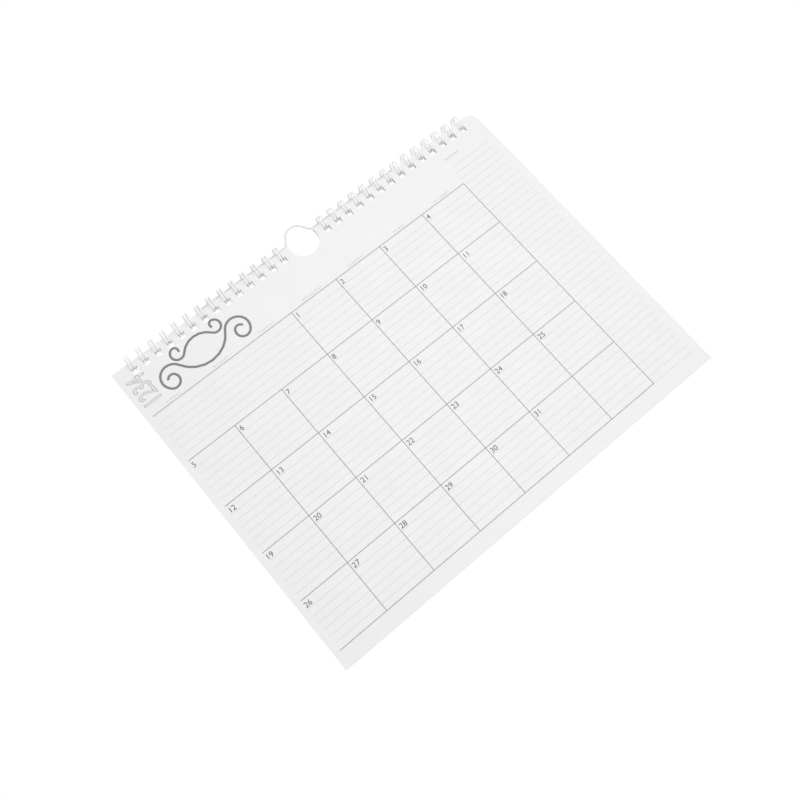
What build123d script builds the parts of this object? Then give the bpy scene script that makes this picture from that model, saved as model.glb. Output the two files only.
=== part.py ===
from build123d import *
from math import ceil, cos, hypot, radians, sin, sqrt, tan
import os

# Wall calendar, landscape, bound along its top edge by two twin-loop wires, with a wire hanger.
# Millimetres. +X to the right, +Z up, and the open page faces -Y, towards the reader.
# The origin is the point of the hanger's arch that rests on the nail.

# Leaves and back cover
page_width = 279.4
page_height = 215.9
leaf_thickness = 2.6  # the whole block of leaves
cover_thickness = 0.4
cover_gap = 0.05  # between the last leaf and the cover
round_corner = 7.0  # top right
trimmed_corner = 1.2  # the other three

# Punched holes along the top edge
hole_pitch = 25.4 / 3
hole_width = 4.0
hole_margin = 3.9  # from the edge to the holes
holes_left_out = 3  # over the notch
side_margin = 6.0  # least distance from the page's sides to the middle of a hole

# Thumb notch
notch_radius = 10.0
notch_depth = 13.0

# Twin-loop wires
wire_thickness = 1.0  # across flats
wire_spacing = 2.0  # between the two strands of a loop
loop_sides = 9
edge_rise = 0.25  # the leaves' edge above the middle of the loops
loop_clearance = 0.15  # between a turning leaf and the loop
closing_gap = 0.3  # between the tips and the base line

# Hanger
hanger_thickness = 1.2  # across flats
hanger_sides = 8
hanger_length = 150.0
arch_rise = 8.4  # from the arms to the top of the arch
arch_top_radius = 7.6
arch_flank_angle = 57.0  # of the arch's sides, from the horizontal
arch_foot_radius = 1.6
leaf_clearance = 0.225  # between the arms and leaves turned straight up
arm_seat_gap = 0.18  # between the arms and the loops that hang on them

# Print on the open page, measured from the page's left and top edges
columns = 7
rows = 5
blank_cells = 3  # the first row has no sides here
grid_left = 2.8  # where the first column begins
grid_top = 35.3
grid_foot = 10.1  # from the last row to the page's bottom edge
print_margin = 4.0  # the print starts here, just inside the first column
grid_line = 0.4
notes_top = 21.0  # no writing line of the notes column above this
notes_gap = 1.0  # between the last column and the notes
notes_width = 31.3
notes_margin = 5.6  # from the notes to the page's right edge
number_room = 5.0  # free of writing lines at the top of a cell
ruling_line = 0.3
ruling_pitch = 4.7
ruling_ink = 0.03
grid_ink = 0.03

# Header figure: pen strokes of tangent arcs, each given as a share of the radius and a turn
header_left = 51.0  # middle of the figure
header_down = 23.5
header_stroke = 1.5
header_radius = 19.0
lower_scroll = [(1.0, 62), (0.4, -200), (0.24, -170), (0.16, -120)]
lower_scroll_drop = 6.0
upper_scroll = [(0.68, -52), (0.22, 210), (0.126, 150)]
upper_scroll_rise = 13.0
chord_turn = 18  # the most that a straight piece of a stroke turns

# The page's width sets the number of holes, and its size sets the cells and the writing lines
first_hole = (holes_left_out + 1) / 2 * hole_pitch
holes_each_side = int((page_width / 2 - first_hole - side_margin) / hole_pitch) + 1
comb_middle = first_hole + (holes_each_side - 1) / 2 * hole_pitch
notes_left = page_width - notes_margin - notes_width
grid_right = notes_left - notes_gap
grid_bottom = page_height - grid_foot
cell_width = (grid_right - grid_left) / columns
cell_height = (grid_bottom - grid_top) / rows
ruled_per_cell = int((cell_height - number_room) / ruling_pitch)
notes_lines = int((grid_bottom - notes_top) / ruling_pitch) + 1

# A loop's inside clears the leaves' front edge as they turn
stack_thickness = leaf_thickness + cover_gap + cover_thickness
half_stack = stack_thickness / 2
hole_from_loop = hole_margin - edge_rise
loop_inside = hypot(hole_from_loop, half_stack) + loop_clearance
loop_radius = loop_inside + wire_thickness / 2
side_angle = 360 / loop_sides

# The arms lie under the second side of the loops, counted from the base line at the back
arm_back = half_stack + leaf_clearance + hanger_thickness / 2
seat_angle = radians(1.5 * side_angle)
seat_distance = loop_inside - arm_seat_gap - hanger_thickness / 2
arm_up = (seat_distance - arm_back * cos(seat_angle)) / sin(seat_angle)

# Places in the calendar's own frame
arms_z = hanger_thickness / 2 - arch_rise
loop_y = -arm_back
loop_z = arms_z - arm_up
edge_z = loop_z + edge_rise
page_front = loop_y - half_stack
page_back = page_front + leaf_thickness
cover_back = loop_y + half_stack
page_left = -page_width / 2

os.makedirs("parts", exist_ok=True)


# One sheet's outline with its holes and notch, on the plane of its back face
def sheet_face(back):
    middle_z = edge_z - page_height / 2
    with BuildSketch(Plane.XZ.offset(-back)) as sheet:
        with Locations((0, middle_z)):
            Rectangle(page_width, page_height)
        corners = sheet.vertices()
        top_right = [corner for corner in corners if corner.X > 0 and corner.Y > middle_z]
        other_corners = [corner for corner in corners if corner.X < 0 or corner.Y < middle_z]
        fillet(top_right, round_corner)
        fillet(other_corners, trimmed_corner)
        with Locations((0, edge_z - notch_depth + notch_radius)):
            Circle(notch_radius, mode=Mode.SUBTRACT)
        hole_z = edge_z - hole_margin - hole_width / 2
        with Locations((-comb_middle, hole_z), (comb_middle, hole_z)):
            with GridLocations(hole_pitch, hole_width, holes_each_side, 1):
                Rectangle(hole_width, hole_width, mode=Mode.SUBTRACT)
    return sheet.sketch


with BuildPart() as pages:
    extrude(sheet_face(page_back), amount=leaf_thickness)
pages.part.label = "pages"
export_step(pages.part, "parts/pages.step")

with BuildPart() as back_cover:
    extrude(sheet_face(cover_back), amount=cover_thickness)
back_cover.part.label = "back_cover"
export_step(back_cover.part, "parts/back_cover.step")


# A corner of the loops' many-sided ring, seen along X, counted from the base line at the back
def ring_point(x, corner):
    ring_corner_radius = loop_radius / cos(radians(side_angle / 2))
    angle = radians(corner * side_angle)
    return Vector(x, ring_corner_radius * cos(angle), ring_corner_radius * sin(angle))


# One loop: out of the base line, round the ring to the tip, across, and back round to the base line
strand_x = wire_spacing / 2
last_corner = loop_sides - 1
tip_distance = closing_gap + 2 * wire_thickness / sqrt(3)
last_side = ring_point(strand_x, loop_sides) - ring_point(strand_x, last_corner)
tip = ring_point(strand_x, loop_sides) - last_side.normalized() * tip_distance
first_strand = [ring_point(-strand_x, corner) for corner in range(loop_sides)]
second_strand = [ring_point(strand_x, corner) for corner in reversed(range(loop_sides))]
base_start = ring_point(-hole_pitch / 2, 0)
base_end = ring_point(hole_pitch / 2, 0)
tips = [Vector(-tip.X, tip.Y, tip.Z), tip]
half_side = radians(side_angle / 2)

with BuildPart() as twin_loop:
    with BuildLine():
        Polyline(base_start, *first_strand, *tips, *second_strand, base_end)
    with BuildSketch(Plane(base_start, x_dir=(0, sin(half_side), -cos(half_side)), z_dir=(1, 0, 0))):
        RegularPolygon(wire_thickness / 2, 6, major_radius=False)
    sweep(transition=Transition.RIGHT)


# One continuous wire: a row of loops joined by their base lines, about the given middle
def comb(middle):
    with BuildPart() as wire:
        with Locations((middle, loop_y, loop_z)):
            with GridLocations(hole_pitch, hole_pitch, holes_each_side, 1):
                add(twin_loop.part)
    return wire.part


with BuildPart() as right_binding_wire:
    add(comb(comb_middle))
right_binding_wire.part.label = "right_binding_wire"
export_step(right_binding_wire.part, "parts/right_binding_wire.step")

with BuildPart() as left_binding_wire:
    add(comb(-comb_middle))
left_binding_wire.part.label = "left_binding_wire"
export_step(left_binding_wire.part, "parts/left_binding_wire.step")

# The hanger's arch is cut from two straight sides that would meet above its rounded top
flank = radians(arch_flank_angle)
peak = arch_rise + arch_top_radius * (1 / cos(flank) - 1)
foot_x = peak / tan(flank)
arm_end = hanger_length / 2
half_turn = 180

with BuildPart() as hanger:
    with BuildLine(Plane.XZ):
        FilletPolyline(
            (-arm_end, arms_z),
            (-foot_x, arms_z),
            (0, arms_z + peak),
            (foot_x, arms_z),
            (arm_end, arms_z),
            radius=[arch_foot_radius, arch_top_radius, arch_foot_radius],
        )
    with BuildSketch(Plane((-arm_end, 0, arms_z), x_dir=(0, 1, 0), z_dir=(1, 0, 0))):
        flat_down = half_turn / hanger_sides
        RegularPolygon(hanger_thickness / 2, hanger_sides, major_radius=False, rotation=flat_down)
    sweep()
hanger.part.label = "hanger"
export_step(hanger.part, "parts/hanger.step")


# A place on the page, by its distances from the left and top edges
def on_page(from_left, from_top):
    return (page_left + from_left, edge_z - from_top)


ruled_middles = []
for row in range(rows):
    for line in range(ruled_per_cell):
        down = grid_top + (row + 1) * cell_height - (line + 1) * ruling_pitch
        ruled_middles.append(on_page((print_margin + grid_right) / 2, down))
notes_middles = []
for line in range(notes_lines):
    down = grid_bottom - line * ruling_pitch
    notes_middles.append(on_page(notes_left + notes_width / 2, down))

with BuildPart() as ruled_lines:
    with BuildSketch(Plane.XZ.offset(-page_front)):
        with Locations(*ruled_middles):
            Rectangle(grid_right - print_margin, ruling_line)
        with Locations(*notes_middles):
            Rectangle(notes_width, ruling_line)
    extrude(amount=ruling_ink)
ruled_lines.part.label = "ruled_lines"
export_step(ruled_lines.part, "parts/ruled_lines.step")

# The grid lies on the writing lines and holds them together
with BuildPart() as printed_grid:
    with BuildSketch(Plane.XZ.offset(ruling_ink - page_front)):
        for row in range(rows + 1):
            with Locations(on_page(print_margin, grid_top + row * cell_height)):
                Rectangle(grid_right - print_margin, grid_line, align=(Align.MIN, Align.CENTER))
        for column in range(1, columns + 1):
            side_top = grid_top + (cell_height if column < blank_cells else 0)
            side_middle = (side_top + grid_bottom) / 2
            with Locations(on_page(grid_left + column * cell_width, side_middle)):
                Rectangle(grid_line, grid_bottom - side_top + grid_line)
    extrude(amount=grid_ink)
printed_grid.part.label = "printed_grid"
export_step(printed_grid.part, "parts/printed_grid.step")


# Half of a pair of scrolls: the outline of a pen stroke that starts level at the middle
def scroll_outline(height, arcs):
    half_stroke = header_stroke / 2
    place = Vector(0, height)
    heading = Vector(1, 0)
    left_side = [place + (0, half_stroke)]
    right_side = [place - (0, half_stroke)]
    for share, turn in arcs:
        pieces = ceil(abs(turn) / chord_turn)
        half_bend = turn / pieces / 2
        chord = 2 * share * header_radius * sin(radians(abs(half_bend)))
        for piece in range(pieces):
            place += heading.rotate(Axis.Z, half_bend) * chord
            heading = heading.rotate(Axis.Z, 2 * half_bend)
            across = heading.rotate(Axis.Z, half_turn / 2) * half_stroke
            left_side.append(place + across)
            right_side.append(place - across)
    return right_side + left_side[::-1]


header_x, header_z = on_page(header_left, header_down)
header_plane = Plane((header_x, page_front, header_z), x_dir=(1, 0, 0), z_dir=(0, -1, 0))

header_outlines = [
    scroll_outline(-lower_scroll_drop, lower_scroll),
    scroll_outline(upper_scroll_rise, upper_scroll),
]

with BuildPart() as header_figure:
    with BuildSketch(header_plane):
        for outline in header_outlines:
            Polygon(*outline)
        mirror(about=Plane.YZ)
    extrude(amount=ruling_ink)
header_figure.part.label = "header_figure"
export_step(header_figure.part, "parts/header_figure.step")
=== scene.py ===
import bpy
from math import atan2, cos, hypot, pi, radians, sin, tan
from mathutils import Matrix, Vector


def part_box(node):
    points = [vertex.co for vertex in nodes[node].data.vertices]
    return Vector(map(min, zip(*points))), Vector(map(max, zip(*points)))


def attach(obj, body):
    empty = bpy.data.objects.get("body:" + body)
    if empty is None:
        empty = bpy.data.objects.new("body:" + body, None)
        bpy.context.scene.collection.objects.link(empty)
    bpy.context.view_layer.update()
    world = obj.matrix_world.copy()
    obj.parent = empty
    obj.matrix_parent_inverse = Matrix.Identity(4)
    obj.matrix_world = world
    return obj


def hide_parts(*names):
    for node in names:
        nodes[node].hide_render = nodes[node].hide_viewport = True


# Wire-bound wall calendar. Metres, in the CAD model's own frame: the origin is where the hanger
# rests on its nail, +X runs to the right along the bound edge, +Z is up and the open page faces -Y.

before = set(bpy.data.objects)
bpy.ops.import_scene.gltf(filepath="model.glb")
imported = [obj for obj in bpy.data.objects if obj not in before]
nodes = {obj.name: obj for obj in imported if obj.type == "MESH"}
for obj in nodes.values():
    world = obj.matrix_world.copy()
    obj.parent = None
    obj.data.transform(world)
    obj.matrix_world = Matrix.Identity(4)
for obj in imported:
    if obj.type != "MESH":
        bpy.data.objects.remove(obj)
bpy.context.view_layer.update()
mm = 0.001

pageLow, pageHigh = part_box("pages")
print("frame loaded")


def deselectAll():
    if bpy.context.object and bpy.context.object.mode != "OBJECT":
        bpy.ops.object.mode_set(mode="OBJECT")
    bpy.ops.object.select_all(action="DESELECT")


def makeActive(piece):
    deselectAll()
    piece.select_set(True)
    bpy.context.view_layer.objects.active = piece


def editAll(piece):
    makeActive(piece)
    bpy.ops.object.mode_set(mode="EDIT")
    bpy.ops.mesh.select_all(action="SELECT")


def applyModifiers(piece):
    makeActive(piece)
    for modifier in list(piece.modifiers):
        bpy.ops.object.modifier_apply(modifier=modifier.name)


def applyPlace(piece):
    makeActive(piece)
    bpy.ops.object.transform_apply(location=True, rotation=True, scale=True)


def addRow(piece, step, count, mergeWithin=0.0):
    row = piece.modifiers.new("row", "ARRAY")
    row.use_relative_offset = False
    row.use_constant_offset = True
    row.constant_offset_displace = step
    row.count = count
    row.use_merge_vertices = mergeWithin > 0
    row.merge_threshold = mergeWithin
    applyModifiers(piece)


# Materials: short ways to add and join shader nodes, then one maker for each kind of surface

pattern = {
    "noiseRoughness": 0.6,
    "darkTo": 0.3,  # noise values up to this are fully dark
    "lightFrom": 0.7,
}


def startMaterial(name, roughness, specular):
    material = bpy.data.materials.new(name)
    material.use_nodes = True
    shader = material.node_tree.nodes["Principled BSDF"]
    shader.inputs["Roughness"].default_value = roughness
    shader.inputs["Specular IOR Level"].default_value = specular
    return material, material.node_tree, shader


def addNoise(tree, scale, detail, stretch=(1, 1, 1)):  # on the piece's own Object coordinates
    coords = tree.nodes.new("ShaderNodeTexCoord")
    mapping = tree.nodes.new("ShaderNodeMapping")
    mapping.inputs["Scale"].default_value = stretch
    noise = tree.nodes.new("ShaderNodeTexNoise")
    noise.inputs["Scale"].default_value = scale
    noise.inputs["Detail"].default_value = detail
    noise.inputs["Roughness"].default_value = pattern["noiseRoughness"]
    tree.links.new(coords.outputs["Object"], mapping.inputs["Vector"])
    tree.links.new(mapping.outputs["Vector"], noise.inputs["Vector"])
    return noise.outputs["Fac"]


def addMath(tree, kind, *values):
    node = tree.nodes.new("ShaderNodeMath")
    node.operation = kind
    for socket, value in zip(node.inputs, values):
        if isinstance(value, (int, float)):
            socket.default_value = value
        else:
            tree.links.new(value, socket)
    return node.outputs["Value"]


def addGreys(tree, value, dark, light):  # a grey between dark and light, by a noise value
    ramp = tree.nodes.new("ShaderNodeValToRGB")
    ramp.color_ramp.elements[0].position = pattern["darkTo"]
    ramp.color_ramp.elements[1].position = pattern["lightFrom"]
    ramp.color_ramp.elements[0].color = (dark, dark, dark, 1)
    ramp.color_ramp.elements[1].color = (light, light, light, 1)
    tree.links.new(value, ramp.inputs["Fac"])
    return ramp.outputs["Color"]


def addBump(tree, shader, height, strength, distance):
    bump = tree.nodes.new("ShaderNodeBump")
    bump.inputs["Strength"].default_value = strength
    bump.inputs["Distance"].default_value = distance
    tree.links.new(height, bump.inputs["Height"])
    tree.links.new(bump.outputs["Normal"], shader.inputs["Normal"])


def coat(piece, material):
    piece.data.materials.clear()
    piece.data.materials.append(material)


paperLook = {
    "light": 0.90,
    "dark": 0.87,
    "cloudScale": 45.0,  # faint unevenness of the sheet, about 2 cm across
    "cloudDetail": 3.0,
    "cloudShare": 0.6,
    "fibreScale": 1700.0,
    "fibreDetail": 5.0,
    "fibreShare": 0.4,
    "fibreStretch": (1.0, 1.0, 1.6),
    "roughness": 0.86,
    "specular": 0.25,
    "bumpStrength": 0.16,
    "bumpDistance": 0.06 * mm,
}


def makePaper(name, look):
    material, tree, shader = startMaterial(name, look["roughness"], look["specular"])
    cloud = addNoise(tree, look["cloudScale"], look["cloudDetail"])
    fibre = addNoise(tree, look["fibreScale"], look["fibreDetail"], stretch=look["fibreStretch"])
    cloudPart = addMath(tree, "MULTIPLY", cloud, look["cloudShare"])
    fibrePart = addMath(tree, "MULTIPLY", fibre, look["fibreShare"])
    mixed = addMath(tree, "ADD", cloudPart, fibrePart)
    greys = addGreys(tree, mixed, look["dark"], look["light"])
    tree.links.new(greys, shader.inputs["Base Color"])
    addBump(tree, shader, fibre, look["bumpStrength"], look["bumpDistance"])
    return material


leafPaper = makePaper("leafPaper", paperLook)
cardLook = dict(paperLook, light=0.85, dark=0.82, fibreScale=1100.0, bumpStrength=0.25,
                bumpDistance=0.1 * mm)
coverCard = makePaper("coverCard", cardLook)

coatingLook = {
    "light": 0.96,
    "dark": 0.93,
    "roughness": 0.34,
    "roughnessSpread": 0.14,
    "specular": 0.5,
    "patchScale": 160.0,
    "patchDetail": 3.0,
    "dimpleScale": 2600.0,
    "dimpleDetail": 2.0,
    "bumpStrength": 0.12,
    "bumpDistance": 0.03 * mm,
    "gloss": 0.2,
    "glossRoughness": 0.2,
}


def makeCoating(name, look):  # satin nylon: slightly uneven in tone and gloss, with fine dimples
    material, tree, shader = startMaterial(name, look["roughness"], look["specular"])
    patches = addNoise(tree, look["patchScale"], look["patchDetail"])
    dimples = addNoise(tree, look["dimpleScale"], look["dimpleDetail"])
    greys = addGreys(tree, patches, look["dark"], look["light"])
    tree.links.new(greys, shader.inputs["Base Color"])
    smoothest = look["roughness"] - look["roughnessSpread"] / 2
    roughness = addMath(tree, "MULTIPLY_ADD", patches, look["roughnessSpread"], smoothest)
    tree.links.new(roughness, shader.inputs["Roughness"])
    shader.inputs["Coat Weight"].default_value = look["gloss"]
    shader.inputs["Coat Roughness"].default_value = look["glossRoughness"]
    addBump(tree, shader, dimples, look["bumpStrength"], look["bumpDistance"])
    return material


loopCoating = makeCoating("loopCoating", coatingLook)
hangerLook = dict(coatingLook, light=0.82, dark=0.78)
hangerCoating = makeCoating("hangerCoating", hangerLook)

inkLook = {
    "gridInk": 0.34,
    "rulingInk": 0.72,
    "headerInk": 0.25,
    "numberInk": 0.12,
    "headingInk": 0.57,
    "sideInk": 0.55,
    "spread": 0.06,  # how much an ink's grey wavers
    "grainScale": 2300.0,
    "grainDetail": 3.0,
    "roughness": 0.75,
    "specular": 0.2,
    "bumpStrength": 0.08,
    "bumpDistance": 0.03 * mm,
}


def makeInk(name):
    material, tree, shader = startMaterial(name, inkLook["roughness"], inkLook["specular"])
    grain = addNoise(tree, inkLook["grainScale"], inkLook["grainDetail"])
    waver = inkLook["spread"] / 2
    greys = addGreys(tree, grain, inkLook[name] - waver, inkLook[name] + waver)
    tree.links.new(greys, shader.inputs["Base Color"])
    addBump(tree, shader, grain, inkLook["bumpStrength"], inkLook["bumpDistance"])
    return material


inkNames = ("gridInk", "rulingInk", "headerInk", "numberInk", "headingInk", "sideInk")
inks = {name: makeInk(name) for name in inkNames}

coat(nodes["printed_grid"], inks["gridInk"])
coat(nodes["ruled_lines"], inks["rulingInk"])
coat(nodes["header_figure"], inks["headerInk"])
coat(nodes["back_cover"], coverCard)
print("materials made")

# The block of leaves: one thin leaf made from the block's own outline, then repeated

leafStack = {
    "leaves": 12,
    "leafThickness": 0.17 * mm,
    "mergeWithin": 0.01 * mm,  # joins the loose corners of the block's triangles
}


def makeLeaves():
    depth = pageHigh.y - pageLow.y
    leaves = nodes["pages"].copy()
    leaves.data = nodes["pages"].data.copy()
    leaves.parent = None
    leaves.name = "leaves"
    bpy.context.scene.collection.objects.link(leaves)
    for key in [key for key in leaves.keys() if key.startswith("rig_")]:  # marks of a CAD node
        del leaves[key]
    editAll(leaves)
    bpy.ops.mesh.remove_doubles(threshold=leafStack["mergeWithin"])
    bpy.ops.mesh.tris_convert_to_quads()
    bpy.ops.mesh.select_all(action="DESELECT")
    bpy.ops.object.mode_set(mode="OBJECT")
    for vertex in leaves.data.vertices:  # the block's back comes forward to make the first leaf
        vertex.select = vertex.co.y > pageLow.y + depth / 2
    bpy.ops.object.mode_set(mode="EDIT")
    bpy.ops.mesh.select_mode(type="VERT")
    bpy.ops.transform.translate(value=(0, leafStack["leafThickness"] - depth, 0))
    bpy.ops.object.mode_set(mode="OBJECT")
    leafPitch = (depth - leafStack["leafThickness"]) / (leafStack["leaves"] - 1)
    addRow(leaves, (0, leafPitch, 0), leafStack["leaves"])
    coat(leaves, leafPaper)
    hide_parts("pages")
    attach(leaves, "pages")


makeLeaves()
print("leaves stacked")

# Wires: a round section is added facing +X, then run and bent along its way in edit mode

wireFinish = {
    "seamWithin": 0.02 * mm,  # the ends of two lengths this near are joined
    "doublesWithin": 0.005 * mm,
    "smoothBelow": 50.0,  # degrees between two faces
}


def startWire(name, start, thickness, sides):
    deselectAll()
    bpy.ops.mesh.primitive_circle_add(vertices=sides, radius=thickness / 2, fill_type="NOTHING",
                                      location=start, rotation=(0, radians(90), 0))
    wire = bpy.context.object
    wire.name = name
    applyPlace(wire)
    editAll(wire)
    return wire


def runWire(step, pieces=1):
    for piece in range(pieces):
        bpy.ops.mesh.extrude_region_move(TRANSFORM_OT_translate={"value": Vector(step) / pieces})


def bendWire(centre, axis, turn, steps):  # spin counts its angle against the axis's right hand
    bpy.ops.mesh.spin(steps=steps, angle=-radians(turn), center=centre, axis=axis)


def mirrorWire(wire):
    bpy.ops.object.mode_set(mode="OBJECT")
    other = wire.modifiers.new("otherHalf", "MIRROR")
    other.use_axis = (True, False, False)
    other.merge_threshold = wireFinish["seamWithin"]
    applyModifiers(wire)


def finishWire(wire):
    editAll(wire)
    bpy.ops.mesh.remove_doubles(threshold=wireFinish["doublesWithin"])
    bpy.ops.mesh.fill_holes(sides=0)
    bpy.ops.mesh.normals_make_consistent(inside=False)
    bpy.ops.object.mode_set(mode="OBJECT")
    bpy.ops.object.shade_smooth_by_angle(angle=radians(wireFinish["smoothBelow"]))


loopSizes = {
    "middleY": -2.35 * mm,
    "middleZ": -10.2835 * mm,
    "ringRadius": 4.6 * mm,
    "wireThickness": 1.0 * mm,
    "wireSides": 10,
    "strandSpacing": 2.0 * mm,
    "pitch": 25.4 / 3 * mm,  # three loops to the inch
    "baseBend": 0.6 * mm,  # where the base line turns into a strand
    "tipGap": 0.35 * mm,  # between the tips and the base line
    "ringSteps": 28,
    "bendSteps": 4,
}


def makeLoop():  # half a loop about the origin, mirrored: base line, strand round the ring, tip
    size = loopSizes
    ring, bend, strandX = size["ringRadius"], size["baseBend"], size["strandSpacing"] / 2
    start = (-size["pitch"] / 2, hypot(ring, bend), 0)
    loop = startWire("leftLoops", start, size["wireThickness"], size["wireSides"])
    runWire((size["pitch"] / 2 - strandX - bend, 0, 0))
    firstAngle = atan2(bend, ring)
    outward = Vector((0, cos(firstAngle), sin(firstAngle)))
    bendWire(Vector((-strandX - bend, 0, 0)) + outward * ring, outward, -90, size["bendSteps"])
    lastAngle = 2 * pi - (strandX + size["tipGap"] + size["wireThickness"]) / ring
    bendWire((0, 0, 0), (1, 0, 0), (lastAngle - firstAngle) / radians(1), size["ringSteps"])
    outward = Vector((0, cos(lastAngle), sin(lastAngle)))
    bendWire(outward * ring, outward, 90, size["bendSteps"])
    mirrorWire(loop)
    return loop


def makeBindingWires():
    leftLow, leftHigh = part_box("left_binding_wire")
    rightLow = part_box("right_binding_wire")[0]
    loopCount = round((leftHigh.x - leftLow.x) / loopSizes["pitch"])
    left = makeLoop()
    firstLoop = leftLow.x + loopSizes["pitch"] / 2
    left.location = (firstLoop, loopSizes["middleY"], loopSizes["middleZ"])
    applyPlace(left)
    addRow(left, (loopSizes["pitch"], 0, 0), loopCount, mergeWithin=wireFinish["seamWithin"])
    finishWire(left)
    coat(left, loopCoating)
    makeActive(left)
    bpy.ops.object.duplicate()
    right = bpy.context.object
    right.name = "rightLoops"
    right.location.x = rightLow.x - leftLow.x
    applyPlace(right)
    for wire, node in ((left, "left_binding_wire"), (right, "right_binding_wire")):
        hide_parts(node)
        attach(wire, "binding")


makeBindingWires()
print("binding wires made")

hangerSizes = {
    "armLength": 75.0 * mm,  # from the middle to an arm's end
    "armPieces": 8,
    "armsZ": -7.8 * mm,
    "wireThickness": 1.2 * mm,
    "wireSides": 14,
    "archRise": 8.4 * mm,
    "topRadius": 7.6 * mm,
    "flankAngle": 57.0,  # of the arch's sides, from the horizontal
    "footRadius": 1.6 * mm,
    "topSteps": 12,
    "footSteps": 8,
}


def makeHanger():
    size = hangerSizes
    flank = radians(size["flankAngle"])
    peak = size["archRise"] + size["topRadius"] * (1 / cos(flank) - 1)  # where the flanks would meet
    footRun = size["footRadius"] * tan(flank / 2)
    topRun = size["topRadius"] * tan(flank)
    straight = peak / sin(flank) - footRun - topRun
    footX = -peak / tan(flank) - footRun
    start = (-size["armLength"], 0, size["armsZ"])
    wire = startWire("hangerWire", start, size["wireThickness"], size["wireSides"])
    runWire((size["armLength"] + footX, 0, 0), size["armPieces"])
    footMiddle = (footX, 0, size["armsZ"] + size["footRadius"])
    bendWire(footMiddle, (0, -1, 0), size["flankAngle"], size["footSteps"])
    runWire((straight * cos(flank), 0, straight * sin(flank)))
    topMiddle = (0, 0, size["armsZ"] + size["archRise"] - size["topRadius"])
    bendWire(topMiddle, (0, 1, 0), size["flankAngle"], size["topSteps"])
    mirrorWire(wire)
    finishWire(wire)
    coat(wire, hangerCoating)
    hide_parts("hanger")
    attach(wire, "hanger")


makeHanger()
print("hanger bent")

# Lettering of the open page, placed by its distances from the page's left and top edges

pageLayout = {
    "gridLeft": 2.8 * mm,
    "gridTop": 35.3 * mm,
    "cell": 34.1 * mm,
    "columns": 7,
    "printMargin": 4.0 * mm,  # no number starts nearer to the page's left edge
    "inkDepth": 0.03 * mm,
    "capitalShare": 0.7,  # how high a capital of the built-in face stands, as a share of its size
    "curvePieces": 6,  # of each curve in a letter
    "outlineSteps": 1,
}


def onPage(fromLeft, fromTop):
    inkMiddle = pageLow.y - pageLayout["inkDepth"] / 2
    return Vector((pageLow.x + fromLeft, inkMiddle, pageHigh.z - fromTop))


def makeText(words, height, place, align="LEFT", spacing=1.0, outline=0.0, narrow=1.0, turned=0):
    deselectAll()
    bpy.ops.object.text_add()
    text = bpy.context.object
    text.data.body = words
    text.data.align_x = align
    text.data.size = height / pageLayout["capitalShare"]
    text.data.space_character = spacing
    text.data.resolution_u = pageLayout["curvePieces"]
    if outline:  # only a thin line round each figure
        text.data.fill_mode = "NONE"
        text.data.bevel_depth = outline / 2
        text.data.bevel_resolution = pageLayout["outlineSteps"]
    else:
        text.data.extrude = pageLayout["inkDepth"] / 2
    bpy.ops.object.convert(target="MESH")
    text = bpy.context.object
    text.scale = (narrow, 1, pageLayout["inkDepth"] / outline if outline else 1)
    applyPlace(text)
    text.rotation_euler.z = radians(turned)
    applyPlace(text)
    text.rotation_euler.x = radians(90)
    text.location = place
    applyPlace(text)
    return text


def finishLettering(name, texts, ink):
    makeActive(texts[0])
    for text in texts:
        text.select_set(True)
    if len(texts) > 1:
        bpy.ops.object.join()
    lettering = bpy.context.object
    lettering.name = name
    coat(lettering, ink)
    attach(lettering, "pages")


dayNumbers = {
    "firstColumn": 3,  # the month begins on a Wednesday
    "lastDay": 31,
    "height": 3.3 * mm,
    "fromLine": 1.0 * mm,  # from the cell's left line
    "fromTop": 1.8 * mm,  # from its top line
}


def makeDayNumbers():
    texts = []
    for day in range(1, dayNumbers["lastDay"] + 1):
        row, column = divmod(dayNumbers["firstColumn"] + day - 1, pageLayout["columns"])
        left = pageLayout["gridLeft"] + column * pageLayout["cell"] + dayNumbers["fromLine"]
        top = pageLayout["gridTop"] + row * pageLayout["cell"] + dayNumbers["fromTop"]
        place = onPage(max(left, pageLayout["printMargin"]), top + dayNumbers["height"])
        texts.append(makeText(str(day), dayNumbers["height"], place))
    finishLettering("dayNumbers", texts, inks["numberInk"])


makeDayNumbers()
print("day numbers set")

headings = {
    "dayNames": ("SUNDAY", "MONDAY", "TUESDAY", "WEDNESDAY", "THURSDAY", "FRIDAY", "SATURDAY"),
    "height": 1.4 * mm,
    "spacing": 1.4,
    "fromTop": 34.0 * mm,
    "notes": "NOTES",
    "notesHeight": 1.9 * mm,
    "notesLeft": 243.4 * mm,
    "notesFromTop": 16.6 * mm,
}


def makeHeadings():
    texts = []
    for column, words in enumerate(headings["dayNames"]):
        middle = pageLayout["gridLeft"] + (column + 0.5) * pageLayout["cell"]
        place = onPage(middle, headings["fromTop"])
        texts.append(makeText(words, headings["height"], place, align="CENTER",
                              spacing=headings["spacing"]))
    place = onPage(headings["notesLeft"], headings["notesFromTop"])
    texts.append(makeText(headings["notes"], headings["notesHeight"], place,
                          spacing=headings["spacing"]))
    finishLettering("headings", texts, inks["headingInk"])


makeHeadings()
print("headings set")

sideNumber = {
    "words": "1234",
    "height": 11.6 * mm,
    "narrow": 0.65,
    "outline": 0.6 * mm,
    "foot": 15.2 * mm,  # of the figures, from the page's left edge
    "start": 30.2 * mm,  # from its top edge
}


def makeSideNumber():  # plain figures up the page's side, drawn in outline
    place = onPage(sideNumber["foot"], sideNumber["start"])
    text = makeText(sideNumber["words"], sideNumber["height"], place,
                    outline=sideNumber["outline"], narrow=sideNumber["narrow"], turned=90)
    finishLettering("sideNumber", [text], inks["sideInk"])


makeSideNumber()
print("side number set")

# Floor, light and camera

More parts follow.
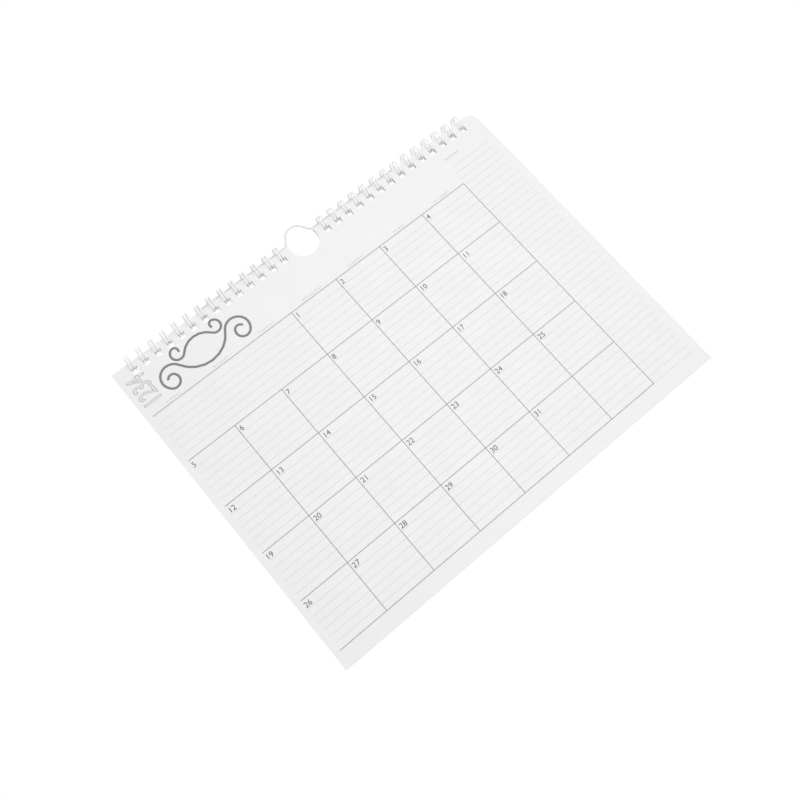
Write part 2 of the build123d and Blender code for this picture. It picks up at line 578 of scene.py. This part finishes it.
studio = {
    "floorZ": -0.42,
    "floorSize": 12.0,
    "floorPieces": 8,
    "floorLight": 0.89,
    "floorDark": 0.86,
    "floorPatchScale": 3.0,
    "floorPatchDetail": 2.0,
    "floorRoughness": 0.8,
    "floorSpecular": 0.3,
    "floorGlow": 0.55,
    "worldLight": 0.76,  # on the calendar; seen directly, the world is 1
    "keyPower": 0.7,
    "keySize": 0.5,
    "keyPlace": (0.06, -0.45, -0.06),
    "backPower": 2.0,
    "backSize": 0.8,
    "backPlace": (0.3, 0.9, 0.2),
    "aim": (0, 0, -0.11),
}


def addWhiteSight(tree):  # 1 where the eye looks straight at a surface, or by a mirror or a lens
    path = tree.nodes.new("ShaderNodeLightPath")
    seen = addMath(tree, "MAXIMUM", path.outputs["Is Camera Ray"], path.outputs["Is Glossy Ray"])
    return addMath(tree, "MAXIMUM", seen, path.outputs["Is Transmission Ray"])


def makeFloor():
    deselectAll()
    pieces = studio["floorPieces"]
    bpy.ops.mesh.primitive_grid_add(x_subdivisions=pieces, y_subdivisions=pieces,
                                    size=studio["floorSize"], location=(0, 0, studio["floorZ"]))
    floor = bpy.context.object
    floor.name = "floor"
    applyPlace(floor)
    material, tree, shader = startMaterial("floorWhite", studio["floorRoughness"],
                                           studio["floorSpecular"])
    patches = addNoise(tree, studio["floorPatchScale"], studio["floorPatchDetail"])
    greys = addGreys(tree, patches, studio["floorDark"], studio["floorLight"])
    tree.links.new(greys, shader.inputs["Base Color"])
    shader.inputs["Emission Color"].default_value = (1, 1, 1, 1)
    glow = addMath(tree, "MULTIPLY", addWhiteSight(tree), studio["floorGlow"])
    tree.links.new(glow, shader.inputs["Emission Strength"])
    coat(floor, material)


def makeWorld():
    world = bpy.data.worlds.new("studio")
    bpy.context.scene.world = world
    world.use_nodes = True
    tree = world.node_tree
    background = tree.nodes["Background"]
    background.inputs["Color"].default_value = (1, 1, 1, 1)
    dimmer = 1.0 - studio["worldLight"]
    strength = addMath(tree, "MULTIPLY_ADD", addWhiteSight(tree), dimmer, studio["worldLight"])
    tree.links.new(strength, background.inputs["Strength"])


def addLamp(name, place, size, power):
    deselectAll()
    bpy.ops.object.light_add(type="AREA", location=place)
    lamp = bpy.context.object
    lamp.name = name
    lamp.data.shape = "DISK"
    lamp.data.size = size
    lamp.data.energy = power
    lamp.visible_camera = False
    aim = Vector(studio["aim"]) - Vector(place)
    lamp.rotation_euler = aim.to_track_quat("-Z", "Y").to_euler()


makeFloor()
makeWorld()
addLamp("keyLamp", studio["keyPlace"], studio["keySize"], studio["keyPower"])
addLamp("backLamp", studio["backPlace"], studio["backSize"], studio["backPower"])

cameraView = {
    "place": (-0.14121, -0.55934, -0.25078),
    "right": (0.76496, -0.02526, -0.64358),  # these three are the camera's own axes
    "up": (0.60932, -0.29542, 0.73583),
    "back": (-0.20872, -0.95503, -0.21059),
    "lens": 45.0,
    "sensor": 36.0,
    "nearest": 0.01,  # nothing nearer to the camera is seen
}
deselectAll()
bpy.ops.object.camera_add()
camera = bpy.context.object
cameraAxes = Matrix((cameraView["right"], cameraView["up"], cameraView["back"])).transposed()
camera.matrix_world = Matrix.Translation(cameraView["place"]) @ cameraAxes.to_4x4()
camera.data.lens = cameraView["lens"]
camera.data.sensor_width = cameraView["sensor"]
camera.data.clip_start = cameraView["nearest"]
bpy.context.scene.camera = camera
bpy.context.scene.view_settings.view_transform = "Standard"
print("studio and camera set")
